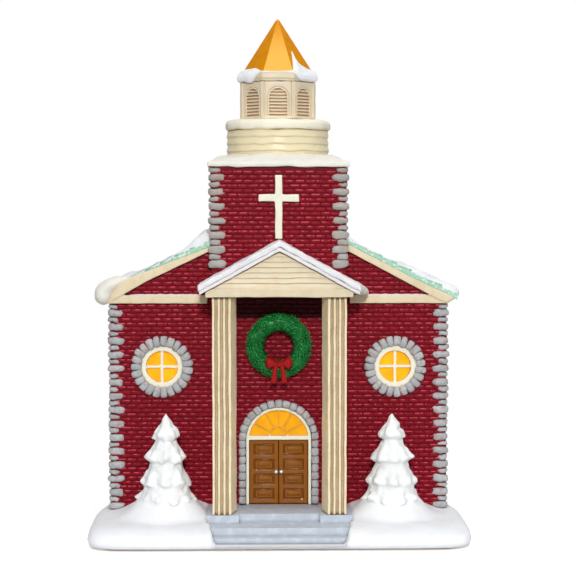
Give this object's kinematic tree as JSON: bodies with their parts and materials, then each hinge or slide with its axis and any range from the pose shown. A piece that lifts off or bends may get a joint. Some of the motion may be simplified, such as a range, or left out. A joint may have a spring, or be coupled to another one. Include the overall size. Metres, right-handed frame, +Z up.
{
  "type": "church ornament",
  "caption": "Lit snow-covered brick church ornament with a columned portico, louvred belfry and gold spire, with a battery light unit in its base.",
  "frame": {"origin": "middle of the base's underside, on the table", "axes": "+Z up to the spire, -Y to the church's front, +X to its right seen from the front"},
  "size_m": [0.1456, 0.13, 0.2044],
  "materials": {
    "snow": "matt white glaze with fine glitter",
    "step_stone": "satin blue-grey paint",
    "brick": "satin maroon paint",
    "cream_trim": "satin cream paint with tan wash",
    "mint_shingle": "satin mint paint",
    "grey_stone": "satin grey paint with brown wash",
    "gold_paint": "metallic gold paint",
    "door_brown": "gloss brown paint",
    "silver_paint": "metallic silver paint",
    "amber_pane": "amber translucent sheet",
    "wreath_green": "satin green paint",
    "bow_red": "gloss red paint",
    "black_plastic": "fine matt texture",
    "white_plastic": "gloss",
    "cell_can": "printed-free wrapped can",
    "contact_metal": "nickel plate",
    "screw_metal": "zinc plate",
    "lamp_board": "solder mask",
    "lamp_dome": "warm diffused lens"
  },
  "bodies": {
    "church": {"snow_base": "snow", "porch_steps": "step_stone", "tree_left": "snow", "tree_right": "snow", "nave_walls": "brick", "quoins_front_left": "grey_stone", "quoins_front_right": "grey_stone", "quoins_rear_left": "grey_stone", "quoins_rear_right": "grey_stone", "gable_trim_front": "cream_trim", "gable_trim_rear": "cream_trim", "roof_left": "mint_shingle", "roof_right": "mint_shingle", "roof_snow_left": "snow", "roof_snow_right": "snow", "tower_walls": "brick", "tower_quoins_front_left": "grey_stone", "tower_quoins_front_right": "grey_stone", "tower_quoins_rear_left": "grey_stone", "tower_quoins_rear_right": "grey_stone", "tower_snow": "snow", "cross": "cream_trim", "belfry_drum": "cream_trim", "drum_snow_rim": "snow", "belfry": "cream_trim", "belfry_cornice": "cream_trim", "cornice_snow": "snow", "spire": "gold_paint", "column_left": "cream_trim", "column_right": "cream_trim", "portico_pediment": "cream_trim", "portico_roof": "cream_trim", "portico_snow": "snow", "door_surround": "grey_stone", "door_frame": "cream_trim", "door_leaf_left": "door_brown", "door_leaf_right": "door_brown", "door_knobs": "silver_paint", "fanlight_pane": "amber_pane", "wreath": "wreath_green", "wreath_bow": "bow_red", "window_surround_left": "grey_stone", "window_surround_right": "grey_stone", "window_frame_left": "cream_trim", "window_frame_right": "cream_trim", "window_pane_left": "amber_pane", "window_pane_right": "amber_pane", "light_tray": "black_plastic", "cells": "cell_can", "contact_springs": "contact_metal", "contact_plates": "contact_metal", "switch_body": "black_plastic", "lamp_board": "lamp_board", "lamp": "lamp_dome", "tray_screws": "screw_metal"},
    "battery_door": {"battery_door": "black_plastic"},
    "switch_slider": {"switch_slider": "white_plastic"}
  },
  "joints": [
    {"name": "battery_door_slide", "type": "slide", "parent": "church", "child": "battery_door", "axis": [0, 1, 0], "range_m": [0, 0.006]},
    {"name": "switch_slide", "type": "slide", "parent": "church", "child": "switch_slider", "axis": [0, 1, 0], "range_m": [0, 0.004]}
  ]
}
